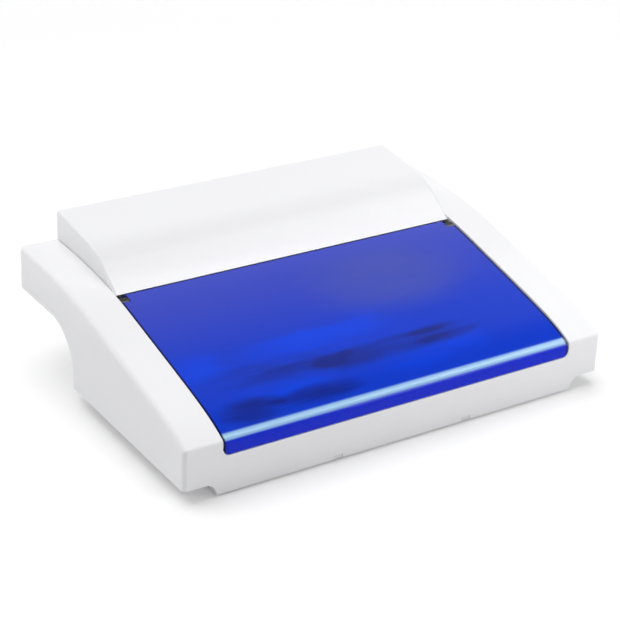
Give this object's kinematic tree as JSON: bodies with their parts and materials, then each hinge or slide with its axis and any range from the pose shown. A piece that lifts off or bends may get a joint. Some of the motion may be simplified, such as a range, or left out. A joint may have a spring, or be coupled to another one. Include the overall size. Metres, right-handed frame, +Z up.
{
  "type": "uv sterilizer box",
  "caption": "White two-winged bench-top ultraviolet sterilizer box with a hinged see-through blue lid, a raised lamp hood and a lift-out tool tray.",
  "frame": {"origin": "on the table surface, under the middle of the body's width and depth", "axes": "+X to the right seen from the front, +Y towards the rear, +Z up"},
  "size_m": [0.4, 0.28, 0.1256],
  "materials": {
    "white_shell": "glossy white moulding",
    "base_white": "fine spark texture",
    "blue_lid": "polished see-through blue acrylic",
    "hinge_black": "satin black",
    "steel": "bright steel",
    "tub_white": "smooth white moulding",
    "polished_sheet": "rolled mirror finish",
    "tray_white": "smooth satin moulding",
    "foot_rubber": "moulded rubber",
    "lamp_glass": "clear quartz",
    "lamp_cap": "spun caps",
    "contact_brass": "plain brass",
    "holder_white": "moulded white",
    "core_steel": "varnished laminations",
    "winding_tape": "taped copper winding",
    "switch_black": "glossy black",
    "rocker_red": "glossy red",
    "lead_brown": "insulated lead",
    "lead_blue": "insulated lead"
  },
  "bodies": {
    "case": {"body_shell": "white_shell", "hood": "white_shell", "hinge_pin_left": "steel", "hinge_pin_right": "steel", "base_cover": "base_white", "chamber_tub": "tub_white", "floor_sheet": "polished_sheet", "lid_bumpers": "foot_rubber", "lampholder_left": "holder_white", "lampholder_right": "holder_white", "lampholder_screws": "steel", "lamp_reflector": "polished_sheet", "lamp_guard": "steel", "rear_partition": "base_white", "hood_screws": "steel", "base_screws": "steel", "switch_body": "switch_black", "switch_blades": "contact_brass", "cord_gland": "hinge_black", "gland_nut": "hinge_black", "ballast_core": "core_steel", "ballast_winding": "winding_tape", "ballast_screws": "steel", "starter_socket": "holder_white", "terminal_block": "holder_white", "terminal_screws": "contact_brass", "interlock_switch": "switch_black", "interlock_screws": "steel", "foot_front_left": "foot_rubber", "foot_front_right": "foot_rubber", "foot_rear_left": "foot_rubber", "foot_rear_right": "foot_rubber", "lead_switch_terminal": "lead_brown", "lead_switch_ballast": "lead_brown", "lead_ballast_lamp": "lead_blue", "lead_lamp_starter": "lead_blue"},
    "lid_assembly": {"lid": "blue_lid", "hinge_ear_left": "hinge_black", "hinge_ear_right": "hinge_black"},
    "tray": {"tool_tray": "tray_white"},
    "rocker": {"switch_rocker": "rocker_red"},
    "plunger": {"interlock_plunger": "rocker_red"},
    "lamp": {"uv_tube": "lamp_glass", "lamp_caps": "lamp_cap", "lamp_pins": "contact_brass", "lamp_rotors": "holder_white"},
    "starter_can": {"starter": "holder_white"}
  },
  "joints": [
    {"name": "lid_hinge", "type": "hinge", "parent": "case", "child": "lid_assembly", "pos_m": [0, 0.028, 0.08537], "axis": [-1, 0, 0], "range_deg": [0, 105]},
    {"name": "tray_lift", "type": "slide", "parent": "case", "child": "tray", "axis": [0, 0, 1], "range_m": [0, 0.012]},
    {"name": "power_rocker", "type": "hinge", "parent": "case", "child": "rocker", "pos_m": [-0.058, 0.1335, 0.0775], "axis": [-1, 0, 0], "range_deg": [0, 20]},
    {"name": "interlock_press", "type": "slide", "parent": "case", "child": "plunger", "axis": [0, 0, -1], "range_m": [0, 0.0006], "stiffness_N_per_m": 100, "springref_m": -0.002},
    {"name": "lamp_twist", "type": "hinge", "parent": "case", "child": "lamp", "pos_m": [0, 0.058, 0.084], "axis": [1, 0, 0], "range_deg": [0, 90]},
    {"name": "starter_twist", "type": "hinge", "parent": "case", "child": "starter_can", "pos_m": [-0.1829, 0.01, 0.0253], "axis": [0, 0, 1], "range_deg": [0, 45]}
  ]
}
